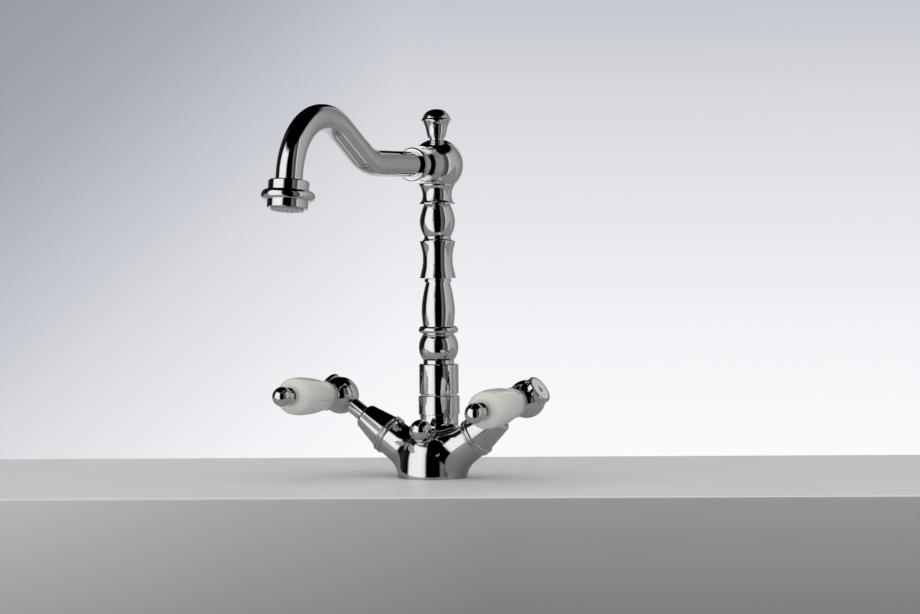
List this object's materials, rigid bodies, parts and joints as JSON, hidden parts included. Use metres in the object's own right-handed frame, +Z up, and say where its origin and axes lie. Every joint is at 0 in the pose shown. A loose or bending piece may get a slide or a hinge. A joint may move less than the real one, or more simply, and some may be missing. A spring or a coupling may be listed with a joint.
{
  "type": "basin mixer tap",
  "caption": "Single-hole basin mixer with angled lever handles, a turned swivel column, a ball head and a swan neck spout.",
  "frame": {"origin": "centre of the round base face, on the deck", "axes": "+Z up, along the column; +X towards the right handle as the user faces the tap; -Y towards the user, where the spout points at rest"},
  "size_m": [0.185, 0.2439, 0.2649],
  "materials": {
    "chrome": "mirror polished plate",
    "brass": "machined",
    "steel": "plain stainless",
    "rubber": "matt",
    "porcelain": "gloss ivory glaze",
    "alumina": "lapped",
    "plastic": "grey moulding"
  },
  "bodies": {
    "tap_body": {"mixer_body": "chrome", "base_seal": "rubber", "swivel_collar": "chrome", "arm_ring_left": "chrome", "arm_ring_right": "chrome", "bonnet_left": "chrome", "bonnet_right": "chrome", "cartridge_left": "brass", "cartridge_right": "brass", "fixed_discs": "alumina", "cartridge_seals": "rubber", "lift_rod_guide": "chrome"},
    "spout": {"swivel_spigot": "brass", "swivel_seals": "rubber", "swivel_snap_ring": "steel", "column_sleeve": "chrome", "lower_ball": "chrome", "column_bead": "chrome", "lower_vase": "chrome", "middle_ring": "chrome", "middle_spool": "chrome", "upper_ring": "chrome", "upper_vase": "chrome", "upper_spool": "chrome", "tie_tube": "brass", "ball_head": "chrome", "finial": "chrome", "spout_lock_ring": "chrome", "spout_nut": "chrome", "spout_tube": "chrome", "outlet_socket": "chrome", "outlet_ring": "chrome", "aerator_housing": "chrome", "aerator_washer": "rubber", "aerator_insert": "plastic"},
    "handle_left": {"hub_left": "chrome", "spindle_left": "brass", "moving_disc_left": "alumina", "handle_screw_left": "steel", "cap_bezel_left": "chrome", "index_disc_left": "porcelain", "lever_flange_left": "chrome", "lever_grip_left": "porcelain", "lever_ferrule_left": "chrome", "lever_tip_left": "chrome", "lever_stud_left": "steel"},
    "handle_right": {"hub_right": "chrome", "spindle_right": "brass", "moving_disc_right": "alumina", "handle_screw_right": "steel", "cap_bezel_right": "chrome", "index_disc_right": "porcelain", "lever_flange_right": "chrome", "lever_grip_right": "porcelain", "lever_ferrule_right": "chrome", "lever_tip_right": "chrome", "lever_stud_right": "steel"},
    "lift": {"lift_knob": "chrome", "lift_rod": "chrome"}
  },
  "joints": [
    {"name": "spout_swivel", "type": "hinge", "parent": "tap_body", "child": "spout", "pos_m": [0, 0.0106, 0.059], "axis": [0, 0, 1], "continuous": true},
    {"name": "handle_left_turn", "type": "hinge", "parent": "tap_body", "child": "handle_left", "pos_m": [-0.07604, 0, 0.05778], "axis": [-0.8241, 0, 0.5664], "range_deg": [0, 90]},
    {"name": "handle_right_turn", "type": "hinge", "parent": "tap_body", "child": "handle_right", "pos_m": [0.07604, 0, 0.05778], "axis": [0.8241, 0, 0.5664], "range_deg": [-90, 0]},
    {"name": "lift_rod_slide", "type": "slide", "parent": "tap_body", "child": "lift", "axis": [0, 0, 1], "range_m": [0, 0.012]}
  ]
}
